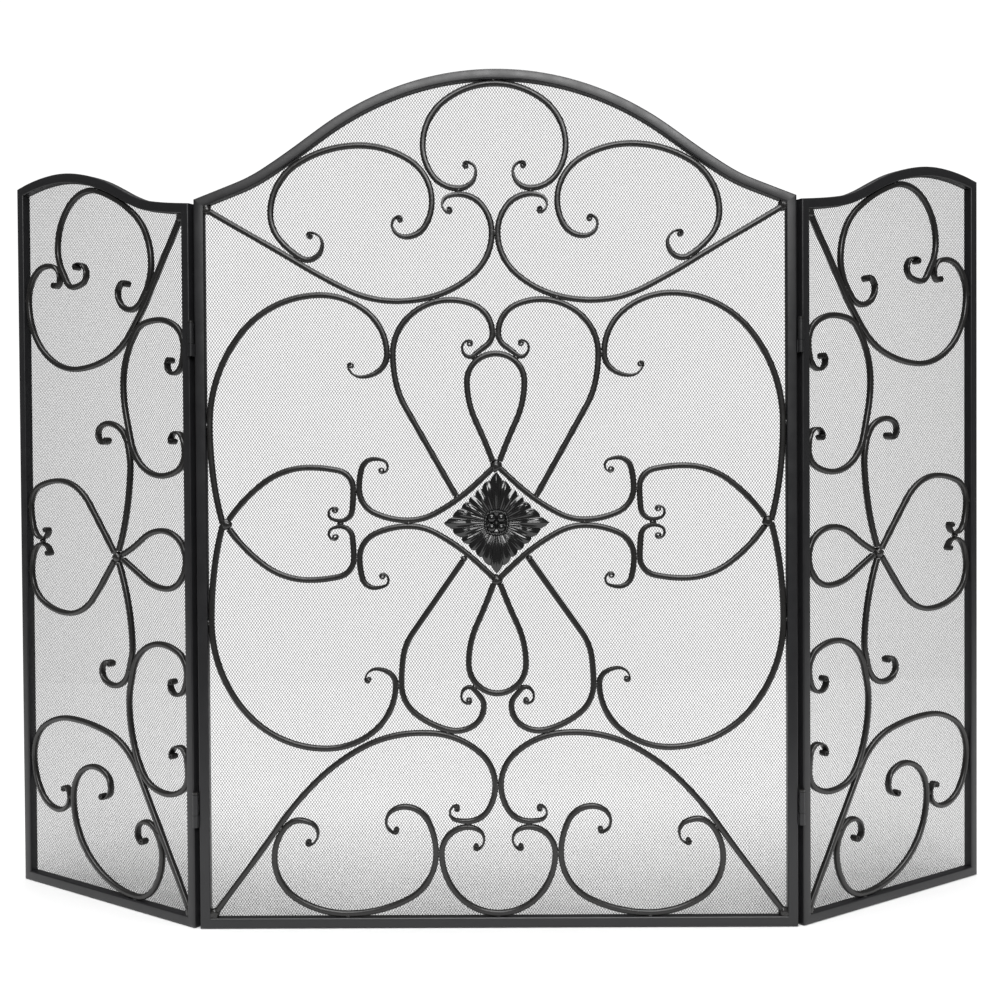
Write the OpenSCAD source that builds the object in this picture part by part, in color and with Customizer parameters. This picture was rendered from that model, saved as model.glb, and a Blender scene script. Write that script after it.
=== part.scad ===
// Three-panel folding fireplace screen.
// +X runs along the centre panel, the front faces -Y and +Z is up. The origin is on the floor,
// under the middle of the centre panel's bottom rail. Millimetres and degrees.

/* [Centre panel] */
// Width of the centre panel across its stiles
centre_w = 585; // [480:5:720]
// Height of the centre panel at its two corners
corner_h = 712; // [590:1:860]
// Height of the centre panel at the crown of its arch
peak_h = 836; // [790:1:960]

/* [Side panels] */
// Width of one side panel across its stiles
side_w = 276; // [225:1:340]
// Height of a side panel at its hinge stile
side_inner_h = 709; // [590:1:860]
// How far the crest of a side panel stands above its hinge corner
side_rise = 58; // [45:1:72]
// How far the outer corner lies below the crest
side_fall = 7; // [4:1:12]
// Angle that the side panels are folded back at rest
fold_back = 34.5; // [0:0.5:34.5]

/* [Tube, rod and mesh] */
// Outside of the square frame tube
tube = 10; // [8:0.5:14]
// Wall of the frame tube
tube_wall = 1; // [0.8:0.1:1.5]
// Diameter of the scroll rod
rod_d = 5.5; // [4.5:0.1:6.5]
// Gap that is left between two rods before they are welded
weld_gap = 0.2; // [0.1:0.05:0.4]
// Diameter of a weld bead
bead_d = 6.4; // [5:0.1:8]
// Diameter of the larger weld where several rods end
nugget_d = 12; // [10:0.5:14]
// Diameter of the rolled eye at a scroll's tip
eye_d = 7; // [6:0.5:8]
// Width of the rolled eye, front to back
eye_w = 8; // [6:0.5:9]
// Thickness of the wire mesh
mesh_t = 0.6; // [0.4:0.1:1.2]

/* [Rosette] */
// Reach of the four long leaves from the middle
leaf_r = 50; // [44:1:54]
// Reach of the four short leaves between them
short_leaf_r = 36; // [30:1:38]
// Thickness of the stamped leaf
leaf_t = 1.2; // [0.8:0.1:2]
// Diameter of the raised boss
boss_d = 24; // [18:1:28]

/* [Hinges] */
// Gap between the stiles that the hinge barrels stand in
hinge_gap = 7; // [6.5:0.1:9]
// How far the hinge pins stand in front of the frame's front face
pin_proud = 0.5; // [0.4:0.1:1.5]
// Diameter of the hinge pin
pin_d = 3; // [2.5:0.1:3.5]
// Clearance between the pin and the side panel's barrel, on the radius
pin_clear = 0.05; // [0.02:0.01:0.1]
// Outside diameter of the hinge barrels
barrel_d = 6; // [5:0.1:6.3]
// Length of the barrel on the side panel
barrel_h = 20; // [14:1:30]
// Length of the barrel on the centre panel
socket_h = 12; // [8:1:20]
// Height of the middle of the lower hinges
low_hinge_z = 122; // [80:1:200]
// Height of the middle of the upper hinges
high_hinge_z = 582; // [450:1:600]

/* [Hidden] */
$fn = 48;

iron = "#26262a";
mesh_black = "#3a3a3c";
polished = "#55555a";

// Half the distance between the middles of two rods that are welded side by side.
touch = (rod_d + weld_gap) / 2;
// The same, measured from the outer edge of a rail that a rod is welded under.
under_rail = tube + touch;
cut = 2 * tube;

// ---- Curves ----
// A station is [x, z, heading, shift]: a place on a panel, the direction of travel there and how
// far the bar's middle lies to the left of it. A station with only x and z is a free tip.
// Two arcs join each station to the next, so every bend is round and every joint is smooth.

function unit(a) = [cos(a), sin(a)];
function angle_of(v) = atan2(v[1], v[0]);
function half_turn(a) = a - 360 * round(a / 360);

// A station's own place, with its shift taken up.
function place(s) = len(s) < 4 ? [s[0], s[1]] : [s[0], s[1]] + s[3] * unit(s[2] + 90);

// An arc is [start, heading at the start, end].
function arc_turn(arc) = 2 * half_turn(angle_of(arc[2] - arc[0]) - arc[1]);
function arc_end_heading(arc) = arc[1] + arc_turn(arc);
function arc_radius(arc) = norm(arc[2] - arc[0]) / (2 * sin(arc_turn(arc) / 2));

// How far along each heading the joint of two arcs lies.
function reach(v, a, b) =
    let (t = unit(a) + unit(b), spare = 2 * (1 - unit(a) * unit(b)), along = v * t)
    spare < 0.000001
        ? (v * v) / (2 * along)
        : (sqrt(along * along + spare * (v * v)) - along) / spare;

function two_arcs(p, a, q, b) =
    let (d = reach(q - p, a, b), joint = (p + q + d * (unit(a) - unit(b))) / 2, first = [p, a, joint])
    [first, [joint, arc_end_heading(first), q]];

function is_tip(s) = len(s) == 2;

// The arcs between two stations: one from or to a tip, otherwise two.
function span(s, e) =
    is_tip(s) ? [[place(s), 2 * angle_of(place(e) - place(s)) - e[2], place(e)]] :
    is_tip(e) ? [[place(s), s[2], place(e)]] :
    two_arcs(place(s), s[2], place(e), e[2]);

function arcs(stations) = [for (i = [0 : len(stations) - 2]) each span(stations[i], stations[i + 1])];

// The same run seen in a mirror at x = 0, or at a given height, travelled the other way.
function flip_x(stations) = [for (i = [len(stations) - 1 : -1 : 0])
    let (s = stations[i]) len(s) == 2 ? [-s[0], s[1]] : [-s[0], s[1], -s[2], len(s) == 4 ? s[3] : 0]];
function flip_z(stations, mid) = [for (i = [len(stations) - 1 : -1 : 0])
    let (s = stations[i])
    len(s) == 2 ? [s[0], 2 * mid - s[1]] : [s[0], 2 * mid - s[1], 180 - s[2], len(s) == 4 ? s[3] : 0]];

// ---- Bars ----
// A panel is drawn in x and z and then stood up, with its middle plane at y = 0.
module stand_up() rotate([90, 0, 0]) children();

module rod_section() circle(d = rod_d, $fn = 32);
module tube_section(less = 0) difference() {
    square(tube - less, center = true);
    square(tube - 2 * tube_wall + less, center = true);
}

// A section carried along one arc, or along a straight line where the arc hardly turns.
module along_arc(arc) {
    turn = arc_turn(arc);
    if (abs(turn) < 0.4) {
        translate(arc[0]) rotate([0, 0, angle_of(arc[2] - arc[0])]) rotate([90, 0, 90])
            linear_extrude(norm(arc[2] - arc[0])) children();
    } else {
        r = arc_radius(arc);
        middle = arc[0] + r * unit(arc[1] + 90);
        first = angle_of(turn > 0 ? arc[0] - middle : arc[2] - middle);
        translate(middle) rotate_extrude(angle = abs(turn), start = first, $fn = 120)
            translate([abs(r), 0]) children();
    }
}

// An arc with a little taken off its two ends.
seam = 0.4;
function degrees_along(length, r) = length / r * 180 / PI;
function shorter(arc, a, b) =
    let (turn = arc_turn(arc))
    abs(turn) < 0.4
        ? let (u = unit(angle_of(arc[2] - arc[0]))) [arc[0] + a * u, arc[1], arc[2] - b * u]
        : let (r = arc_radius(arc), middle = arc[0] + r * unit(arc[1] + 90), da = degrees_along(a, r),
               db = degrees_along(b, r))
          [middle - r * unit(arc[1] + 90 + da), arc[1] + da,
           middle - r * unit(arc[1] + 90 + turn - db)];
function cut_arcs(stations) =
    let (all = arcs(stations), last = len(all) - 1)
    [for (i = [0 : last]) shorter(all[i], i > 0 ? seam : 0, i < last ? seam : 0)];

// A run of arcs. A seam of the second section, a hair smaller, joins each arc to the next.
module run_of(stations) {
    all = cut_arcs(stations);
    for (arc = all) along_arc(arc) children(0);
    for (i = [0 : len(all) - 2]) {
        from = all[i][2];
        to = all[i + 1][0];
        u = unit(angle_of(to - from));
        translate(from - 0.1 * u) rotate([0, 0, angle_of(u)]) rotate([90, 0, 90])
            linear_extrude(norm(to - from) + 0.2) children(1);
    }
}

module rod_run(stations) {
    run_of(stations) {
        rod_section();
        circle(d = rod_d - 0.03, $fn = 32);
    }
    for (end = [stations[0], stations[len(stations) - 1]])
        if (is_tip(end)) translate(end) cylinder(d = eye_d, h = eye_w, center = true, $fn = 32);
}

// One bent rod.
module scroll(stations) color(iron) stand_up() rod_run(stations);
// The same rod and its mirror image.
module scroll_pair(stations) {
    scroll(stations);
    scroll(flip_x(stations));
}

module tube_run(stations) run_of(stations) {
    tube_section();
    tube_section(0.03);
}

// Everything on the left of a line through a place, which is what a mitre cut keeps.
module keep_left(at, heading, size = 2000)
    translate(at) rotate([0, 0, heading]) translate([-size / 2, 0, -size / 2]) cube(size);

// ---- Centre panel ----
// The scrolls are drawn on a panel of these inner sizes, and the places then follow the real one.
draw_half_w = 282.5;
draw_floor = 10;
draw_shoulder = 600;
draw_crown = 826;

wide = (centre_w / 2 - tube) / draw_half_w;
tall = (corner_h - tube) / 702;
shoulder_z = tube + (draw_shoulder - draw_floor) * tall;
crown_tall = (peak_h - tube - shoulder_z) / (draw_crown - draw_shoulder);

function centre_z(z) = z < draw_shoulder
    ? tube + (z - draw_floor) * tall
    : shoulder_z + (z - draw_shoulder) * crown_tall;
function lean(h, kx, kz) = h + half_turn(atan2(sin(h) * kz, cos(h) * kx) - h);
function centre_place(s) =
    let (x = s[0] * wide, z = centre_z(s[1]), kz = s[1] < draw_shoulder ? tall : crown_tall)
    len(s) == 2 ? [x, z] : [x, z, lean(s[2], wide, kz), len(s) == 4 ? s[3] : 0];
function centre(stations) = [for (s = stations) centre_place(s)];

// The outer edge of the arched rail: a straight shoulder, an ogee and the round crown.
function centre_arch_half(edge) =
    let (rise = peak_h - corner_h, half = centre_w / 2, kz = rise / 124, kx = half / 292.5)
    [[-half, corner_h, lean(21, kx, kz), edge],
     [-half + 41 * kx, corner_h + 16 * kz, lean(21.5, kx, kz), edge],
     [-half + 92 * kx, corner_h + 46 * kz, lean(35, kx, kz), edge],
     [-half + 124 * kx, corner_h + 69 * kz, lean(35.5, kx, kz), edge]];
function centre_arch(edge) =
    concat(centre_arch_half(edge), [[0, peak_h, 0, edge]], flip_x(centre_arch_half(edge)));

// A run that starts and ends a little further out, so that a mitre can cut it.
function stretched(stations) =
    let (a = stations[0], b = stations[len(stations) - 1])
    concat([[a[0] - cut * cos(a[2]), a[1] - cut * sin(a[2]), a[2], a[3]]], stations,
           [[b[0] + cut * cos(b[2]), b[1] + cut * sin(b[2]), b[2], b[3]]]);

centre_corner = [centre_w / 2, corner_h];
centre_corner_lean = centre_arch(0)[0][2];

module centre_arch_rail() color(iron) stand_up() intersection() {
    tube_run(stretched(centre_arch(-tube / 2)));
    keep_left([-centre_corner[0], centre_corner[1]], (centre_corner_lean - 90) / 2);
    keep_left(centre_corner, (90 - centre_corner_lean) / 2);
}

module straight_tube(from, to) translate(from) rotate([0, 0, angle_of(to - from)]) rotate([90, 0, 90])
    linear_extrude(norm(to - from)) tube_section();

module bottom_rail(left, right) stand_up() intersection() {
    straight_tube([left, tube / 2], [right, tube / 2]);
    keep_left([left, 0], -135);
    keep_left([right, 0], 135);
}

// An upright whose outer face is at x, on the side that out says, cut to its two mitres.
module stile(x, out, height, top_lean) stand_up() intersection() {
    straight_tube([x - out * tube / 2, 0], [x - out * tube / 2, height + cut]);
    keep_left([x, 0], out > 0 ? -45 : 45);
    keep_left([x, height], 180 + out * (90 - top_lean) / 2);
}

module centre_bottom_rail() color(iron) bottom_rail(-centre_w / 2, centre_w / 2);
module centre_left_stile() color(iron) stile(-centre_w / 2, -1, corner_h, centre_corner_lean);
module centre_right_stile() color(iron) stile(centre_w / 2, 1, corner_h, centre_corner_lean);

// Points along a run, one every few degrees of bend.
function arc_points(arc) =
    let (turn = arc_turn(arc), steps = max(1, ceil(abs(turn) / 4)))
    abs(turn) < 0.4 ? [arc[0]] :
    let (r = arc_radius(arc), middle = arc[0] + r * unit(arc[1] + 90))
    [for (i = [0 : steps - 1]) middle - r * unit(arc[1] + 90 + turn * i / steps)];
function run_points(stations) = [for (arc = arcs(stations)) each arc_points(arc)];

// The mesh is welded to the back of the frame and ends at the middle of each tube.
module mesh_plate(outline) color(mesh_black) translate([0, tube / 2 + mesh_t, 0]) stand_up()
    linear_extrude(mesh_t) polygon(outline);

module centre_mesh() {
    x = centre_w / 2 - tube / 2;
    run = run_points(centre_arch(-tube / 2));
    inside = [for (p = run) if (abs(p[0]) < x) p];
    mesh_plate(concat([[x, tube / 2], [-x, tube / 2], [-x, corner_h - tube / 2]], inside,
                      [[x, corner_h - tube / 2]]));
}

// Where two rods touch, both lists name the same place and heading with opposite shifts.
crown_half = [
    [-28, 747], [-18, 738, -90], [-35, 718.8, 180, -touch], [-69.5, 763.5, 90]];
crown_path = centre(concat(crown_half, [[0, draw_crown, 0, -touch]], flip_x(crown_half)));
shoulder_path = centre([
    [-180.5, 679.5], [-168, 668.5, -90], [-190.5, 652.8, 148.5, -touch], [-218.5, 698, 90],
    [-132, 764, 0], [-61, 709.5, -90], [-86.5, 675, 180], [-100, 687, 90], [-93, 695]]);
upper_corner_path = centre([
    [-279.5, 702, -31, 0], [-190.5, 652.8, -31.5, -touch], [-95, 612.5, 0],
    [-60, 614.2, 15, touch], [0, 678.5, 90, touch], [-35, 718.8, 180, touch],
    [-51, 706, -90], [-45, 698]]);
upper_side_path = centre([
    [-144, 549.5], [-131, 539, 0], [-103, 561, 90, touch], [-171, 619, 180],
    [-282.5, 492.5, -90, touch], [-268, 397.3, -75]]);
lower_side_path = centre([
    [-129.5, 243], [-118.5, 253.5, 0], [-96.8, 238, -90, -touch], [-168, 175.5, 180],
    [-282.5, 300, 90, -touch], [-268, 394.7, 75]]);
heart_path = centre([
    [-261.5, 400.8, 55], [-183, 451, 0], [-136.9, 430, -90, -touch], [-152.5, 396, 180, -touch],
    [-164, 406, 90], [-158, 412]]);
diamond_path = centre([
    [-111, 445], [-106, 451.5, 90], [-119, 459, 180], [-136.9, 430, -90, touch],
    [-86, 396, 0, touch], [-37.5, 419.5, 36], [-3.4, 449.5, 44]]);
upper_ear_path = centre([
    [-39.8, 423.4, 119.4], [-88, 509, 119.4], [-103, 561, 90, -touch], [-60, 614.2, 15, -touch],
    [0, 581, -90, -touch], [-19.8, 556.9, -141, -touch], [-32.5, 567, 90], [-25, 574]]);
lower_ear_path = centre([
    [-33.2, 358.8, -125], [-83, 288, -125], [-96.8, 238, -90, touch], [-49, 190.6, -14.6, touch],
    [-13.5, 216.5, 90], [-21.8, 235.5, 135, touch], [-35.5, 226, -90], [-28, 219]]);
upper_teardrop_half = [[-3.4, 456, 110], [-28, 534, 90], [-19.8, 556.9, 39, -touch]];
upper_teardrop_path = centre(concat(upper_teardrop_half, [[0, 561, 0]], flip_x(upper_teardrop_half)));
lower_teardrop_half = [[-3.4, 336, -110], [-28, 258, -90], [-21.8, 235.5, -45, touch]];
lower_teardrop_path = centre(concat(lower_teardrop_half, [[0, 229, 0]], flip_x(lower_teardrop_half)));
lower_corner_path = centre([
    [-278.2, 14.6, 53], [-213.7, 96.9, 55, touch], [-132.5, 176.5, 28], [-74.5, 190.5, 0],
    [-49, 190.6, -14.6, -touch], [0, 138.5, -90, -touch], [-30, 100.5, 180, -touch],
    [-47.5, 112, 90], [-41, 119]]);
foot_path = centre([
    [-185, 80.5], [-177, 92, 90], [-195.5, 105, 180], [-213.7, 96.9, -125, touch],
    [-220, 68, -90], [-148, draw_floor, 0, touch], [-58.5, 72, 90, touch], [-92, 118, 180],
    [-110, 103, -90], [-101, 92]]);
cradle_half = [
    [-20.5, 75.5], [-14, 85.5, 90], [-30, 100.5, 180, touch], [-58.5, 72, -90, touch]];
cradle_path = centre(concat(cradle_half, [[0, draw_floor, 0, touch]], flip_x(cradle_half)));
rosette_z = centre_z(396);

module crown_scroll() scroll(crown_path);
module shoulder_scrolls() scroll_pair(shoulder_path);
module upper_corner_scrolls() scroll_pair(upper_corner_path);
module upper_side_scrolls() scroll_pair(upper_side_path);
module lower_side_scrolls() scroll_pair(lower_side_path);
module heart_scrolls() {
    scroll_pair(heart_path);
    scroll_pair(flip_z(heart_path, rosette_z));
}
module diamond_scrolls() {
    scroll_pair(diamond_path);
    scroll_pair(flip_z(diamond_path, rosette_z));
}
module upper_ear_scrolls() scroll_pair(upper_ear_path);
module lower_ear_scrolls() scroll_pair(lower_ear_path);
module teardrop_scrolls() {
    scroll(upper_teardrop_path);
    scroll(lower_teardrop_path);
}
module lower_corner_scrolls() scroll_pair(lower_corner_path);
module foot_scrolls() scroll_pair(foot_path);
module cradle_scroll() scroll(cradle_path);

// ---- Rosette ----
// Eight leaves, long and short in turn. The long ones point along the panel and up and down.
function leaf_edge(a) =
    let (long = pow(abs(cos(2 * a)), 1.3), short = pow(abs(sin(2 * a)), 3))
    22 + (leaf_r - 22) * long + (short_leaf_r - 22) * short;

leaf_front = rod_d / 2 + 0.05;
module rosette_leaf() color(iron) translate([0, -leaf_front, rosette_z]) stand_up()
    linear_extrude(leaf_t) polygon([for (a = [0 : 5 : 355]) leaf_edge(a) * unit(a)]);

boss_h = 3;
bead_ring = 4.7;
module rosette_boss() color(polished) translate([0, -leaf_front - leaf_t, rosette_z]) stand_up() {
    cylinder(d = boss_d, h = boss_h - 1);
    translate([0, 0, boss_h - 1]) cylinder(d1 = boss_d, d2 = boss_d - 5, h = 1);
    for (a = [0 : 90 : 270]) translate([bead_ring * cos(a + 45), bead_ring * sin(a + 45), boss_h])
        sphere(d = 5);
}

// ---- Welds ----
module beads(places) color(polished) stand_up()
    for (p = places) translate([p[0], p[1], 0]) sphere(d = bead_d, $fn = 24);
// A bigger weld where several rods end, kept within the depth of the frame.
module nuggets(places) color(polished) stand_up()
    for (p = places) translate([p[0], p[1], 0]) intersection() {
        sphere(d = nugget_d, $fn = 32);
        cube([nugget_d, nugget_d, tube - 0.8], center = true);
    }
function both_sides(places) = [for (p = places, m = [-1, 1]) [m * p[0], p[1]]];

centre_bead_places = centre(concat(
    [[0, draw_crown], [0, 678.5], [0, 581], [0, 138.5], [0, draw_floor]],
    both_sides([
        [35, 718.8], [190.5, 652.8], [60, 614.2], [103, 561], [282.5, 492.5], [19.8, 556.9],
        [136.9, 430], [136.9, 362], [152.5, 396], [86, 396], [282.5, 300], [96.8, 238],
        [21.8, 235.5], [49, 190.6], [30, 100.5], [213.7, 96.9], [58.5, 72], [148, draw_floor],
        [38.6, 421.5], [32, 361]])));
centre_nugget_places = centre(concat(
    [[0, 451.5], [0, 340.5]], both_sides([[281, 703.5], [279.5, 13], [264.5, 396]])));

module centre_welds() {
    beads(centre_bead_places);
    nuggets(centre_nugget_places);
}

// ---- Side panels ----
// A side panel is drawn as the right one, from its hinge stile at x = 0 outwards.
side_wide = (side_w - 2 * tube) / 256;
side_tall = (side_inner_h - tube) / 699;
function side_place(s) =
    let (x = tube + (s[0] - 10) * side_wide, z = tube + (s[1] - 10) * side_tall)
    len(s) == 2 ? [x, z] : [x, z, lean(s[2], side_wide, side_tall), len(s) == 4 ? s[3] : 0];
function side(stations) = [for (s = stations) side_place(s)];

side_crest_h = side_inner_h + side_rise;
side_outer_h = side_crest_h - side_fall;
// Where the crest scroll is welded under the rail.
crest_touch_at = [138 * side_w / 276, side_inner_h + 0.755 * side_rise];
crest_touch_lean = lean(19, side_w / 276, side_rise / 58);

function side_arch(edge) =
    let (kx = side_w / 276, kz = side_rise / 58)
    [[0, side_inner_h, lean(8, kx, kz), edge],
     [54 * kx, side_inner_h + 9 * kz, lean(12, kx, kz), edge],
     [94 * kx, side_inner_h + 24 * kz, lean(27, kx, kz), edge],
     [crest_touch_at[0], crest_touch_at[1], crest_touch_lean, edge],
     [214 * kx, side_crest_h, 0, edge],
     [side_w, side_outer_h, lean(-13, kx, side_fall / 7), edge]];
side_inner_lean = side_arch(0)[0][2];
side_outer_lean = side_arch(0)[5][2];

module on_side(left) {
    if (left) mirror([1, 0, 0]) on_side(false) children();
    else translate([(centre_w + hinge_gap) / 2, -tube / 2 - pin_proud, 0]) rotate([0, 0, fold_back])
        translate([hinge_gap / 2, tube / 2 + pin_proud, 0]) children();
}

module side_top_rail() color(iron) stand_up() intersection() {
    tube_run(stretched(side_arch(-tube / 2)));
    keep_left([0, side_inner_h], (side_inner_lean - 90) / 2);
    keep_left([side_w, side_outer_h], (90 + side_outer_lean) / 2);
}
module side_bottom_rail() color(iron) bottom_rail(0, side_w);
module side_hinge_stile() color(iron) stile(0, -1, side_inner_h, side_inner_lean);
module side_outer_stile() color(iron) stile(side_w, 1, side_outer_h, -side_outer_lean);
module side_mesh() {
    run = run_points(side_arch(-tube / 2));
    inside = [for (p = run) if (p[0] > tube / 2 && p[0] < side_w - tube / 2) p];
    mesh_plate(concat([[side_w - tube / 2, tube / 2], [tube / 2, tube / 2],
                       [tube / 2, side_inner_h - tube / 2]], inside,
                      [[side_w - tube / 2, side_outer_h - tube / 2]]));
}

crest_path = concat(
    side([[180, 668], [163, 657, -90], [184, 645, 0], [207, 664, 60, touch], [211, 688, 90]]),
    [[crest_touch_at[0], crest_touch_at[1], 180 + crest_touch_lean, under_rail]],
    side([[60, 657, -90], [66.5, 627.5, -57, touch], [91, 613.5, 0], [112, 632, 90], [98, 643]]));
side_upper_corner_path = side([
    [17, 695.5, -55.7], [66.5, 627.5, -57, -touch], [87.5, 591.5, -50.5, touch], [179, 558, 0],
    [266, 637, 90, touch], [231, 672, 180], [207, 664, -120, touch], [208, 654, -80], [216, 647]]);
side_hinge_upper_path = side([
    [35, 560], [28, 545, 180], [10, 570, 90, -touch], [53, 600, 0], [87.5, 591.5, -50.5, -touch],
    [105, 537, -90], [96.5, 478, -106, -touch], [47, 444, 180], [10, 466, 90, -touch],
    [25, 487, 0], [33, 478]]);
side_hinge_lower_path = side([
    [36, 240], [28, 226, 180], [10, 248, 90, -touch], [52, 275, 0], [97.5, 245, -75, -touch],
    [101, 212, -90], [85, 142, -121, -touch], [44, 125, 180], [10, 148, 90, -touch],
    [26, 175, 0], [37, 165]]);
side_s_upper_path = side([
    [131, 479], [146, 488, 90], [131, 499, 180], [96.5, 478, -106, touch], [95.5, 450, -86],
    [115, 367.6, -66]]);
side_s_lower_path = side([
    [129, 252], [144, 241, -90], [124, 227, 180], [97.5, 245, 105, -touch], [95, 270, 88],
    [115, 354.4, 66]]);
side_heart_upper_path = side([
    [122.4, 365.4, 52], [214, 440, 0], [266, 412, -90, -touch], [243, 374.5, 180, -touch], [233, 386]]);
side_heart_lower_path = side([
    [122.4, 356.6, -52], [200, 298, 0], [266, 342, 90, touch], [243, 374.5, 180, touch], [230, 363]]);
side_teardrop_path = side([
    [107.5, 364.1, 158], [48, 389, 180], [10, 360, -90, touch], [42, 331, 0], [107.5, 357.9, 28]]);
side_lower_corner_path = side([
    [14, 17, 59.3], [56.6, 83.4, 59.3, touch], [85, 142, 59.5, -touch], [199, 185, 0],
    [266, 138, -90, -touch], [221, 84, 180], [197.5, 101, 90, -touch], [208, 111]]);
side_foot_path = side([
    [145, 106], [132, 119, 90], [158, 138, 0], [197.5, 101, -90, -touch], [93, draw_floor, 180, -touch],
    [52.5, 60, 92], [56.6, 83.4, 59.3, -touch], [76, 92, 0], [90, 79, -90], [81, 69]]);

module side_hinge_side_scrolls() {
    scroll(side_hinge_upper_path);
    scroll(side_hinge_lower_path);
}
module side_s_scrolls() {
    scroll(side_s_upper_path);
    scroll(side_s_lower_path);
}
module side_heart_scrolls() {
    scroll(side_heart_upper_path);
    scroll(side_heart_lower_path);
}

side_bead_places = concat(
    [crest_touch_at + tube * unit(crest_touch_lean - 90)],
    side([[266, 637], [10, 570], [10, 466], [10, 248], [10, 148], [266, 412], [266, 342],
          [243, 374.5], [10, 360], [266, 138], [93, draw_floor], [66.5, 627.5], [207, 664],
          [87.5, 591.5], [96.5, 478], [97.5, 245], [85, 142], [56.6, 83.4], [197.5, 101]]));
side_nugget_places = side([[14, 698], [12, 13.5], [116.5, 361]]);

module side_welds() {
    beads(side_bead_places);
    nuggets(side_nugget_places);
}

// ---- Hinges ----
// On each hinge the side panel's barrel turns on a pin that is pressed into the socket below it.
pin_at = [(centre_w + hinge_gap) / 2, -tube / 2 - pin_proud];
pin_head_h = 2;
hinge_slack = 0.3;
hinge_zs = [low_hinge_z, high_hinge_z];
web_t = 3;

module hinge_side(left) {
    if (left) mirror([1, 0, 0]) hinge_side(false) children();
    else children();
}

// A barrel about the pin with a web that reaches to a stile face at x = face.
module knuckle(bore_d, low, high, face) difference() {
    union() {
        translate([0, 0, low]) cylinder(d = barrel_d, h = high - low);
        translate([min(0, face), 0, low]) cube([abs(face), web_t, high - low]);
    }
    translate([0, 0, low - 1]) cylinder(d = bore_d, h = high - low + 2);
}

// The socket takes the pin's lower end in a press fit.
module hinge_sockets(left) color(iron) hinge_side(left) translate([pin_at[0], pin_at[1], 0])
    for (z = hinge_zs) knuckle(pin_d, z - barrel_h / 2 - socket_h, z - barrel_h / 2 - hinge_slack,
                               -hinge_gap / 2);

module hinge_barrels(left) color(iron) hinge_side(left) translate([pin_at[0], pin_at[1], 0])
    rotate([0, 0, fold_back])
    for (z = hinge_zs) knuckle(pin_d + 2 * pin_clear, z - barrel_h / 2, z + barrel_h / 2,
                               hinge_gap / 2);

module hinge_pins(left) color(polished) hinge_side(left) translate([pin_at[0], pin_at[1], 0])
    for (z = hinge_zs) {
        translate([0, 0, z - barrel_h / 2 - socket_h]) cylinder(d = pin_d, h = barrel_h + socket_h + hinge_slack);
        translate([0, 0, z + barrel_h / 2 + hinge_slack]) cylinder(d = barrel_d - 0.6, h = pin_head_h);
    }

centre_bottom_rail();
centre_left_stile();
centre_right_stile();
centre_arch_rail();
centre_mesh();
crown_scroll();
shoulder_scrolls();
upper_corner_scrolls();
upper_side_scrolls();
lower_side_scrolls();
heart_scrolls();
diamond_scrolls();
upper_ear_scrolls();
lower_ear_scrolls();
teardrop_scrolls();
lower_corner_scrolls();
foot_scrolls();
cradle_scroll();
rosette_leaf();
rosette_boss();
centre_welds();
on_side(true) side_hinge_stile();  // left_hinge_stile
on_side(true) side_outer_stile();  // left_outer_stile
on_side(true) side_bottom_rail();  // left_bottom_rail
on_side(true) side_top_rail();  // left_top_rail
on_side(true) side_mesh();  // left_mesh
on_side(true) scroll(crest_path);  // left_crest_scroll
on_side(true) scroll(side_upper_corner_path);  // left_upper_corner_scroll
on_side(true) side_hinge_side_scrolls();  // left_hinge_side_scrolls
on_side(true) side_s_scrolls();  // left_s_scrolls
on_side(true) side_heart_scrolls();  // left_heart_scrolls
on_side(true) scroll(side_teardrop_path);  // left_teardrop_scroll
on_side(true) scroll(side_lower_corner_path);  // left_lower_corner_scroll
on_side(true) scroll(side_foot_path);  // left_foot_scroll
on_side(true) side_welds();  // left_welds
hinge_sockets(true);  // left_hinge_sockets
hinge_barrels(true);  // left_hinge_barrels
hinge_pins(true);  // left_hinge_pins
on_side(false) side_hinge_stile();  // right_hinge_stile
on_side(false) side_outer_stile();  // right_outer_stile
on_side(false) side_bottom_rail();  // right_bottom_rail
on_side(false) side_top_rail();  // right_top_rail
on_side(false) side_mesh();  // right_mesh
on_side(false) scroll(crest_path);  // right_crest_scroll
on_side(false) scroll(side_upper_corner_path);  // right_upper_corner_scroll
on_side(false) side_hinge_side_scrolls();  // right_hinge_side_scrolls
on_side(false) side_s_scrolls();  // right_s_scrolls
on_side(false) side_heart_scrolls();  // right_heart_scrolls
on_side(false) scroll(side_teardrop_path);  // right_teardrop_scroll
on_side(false) scroll(side_lower_corner_path);  // right_lower_corner_scroll
on_side(false) scroll(side_foot_path);  // right_foot_scroll
on_side(false) side_welds();  // right_welds
hinge_sockets(false);  // right_hinge_sockets
hinge_barrels(false);  // right_hinge_barrels
hinge_pins(false);  // right_hinge_pins
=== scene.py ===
# %% [markdown]
# # A folding fireplace screen
# Three flat panels of black painted iron: an arched centre and two wings on pin hinges. Each panel
# is a frame of square tube, a sheet of fine wire mesh on its back, and a drawing in bent bar inside
# it. This notebook loads the engineered model as a fixed frame, then makes what the eye sees of
# each piece around it: bars with rolled tips, tube with soft edges, real wires, and a stamped
# rosette. Lengths below are in millimetres, and become metres where a mesh is made.

import bpy
import numpy as np
from mathutils import Matrix, Vector, noise


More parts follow.
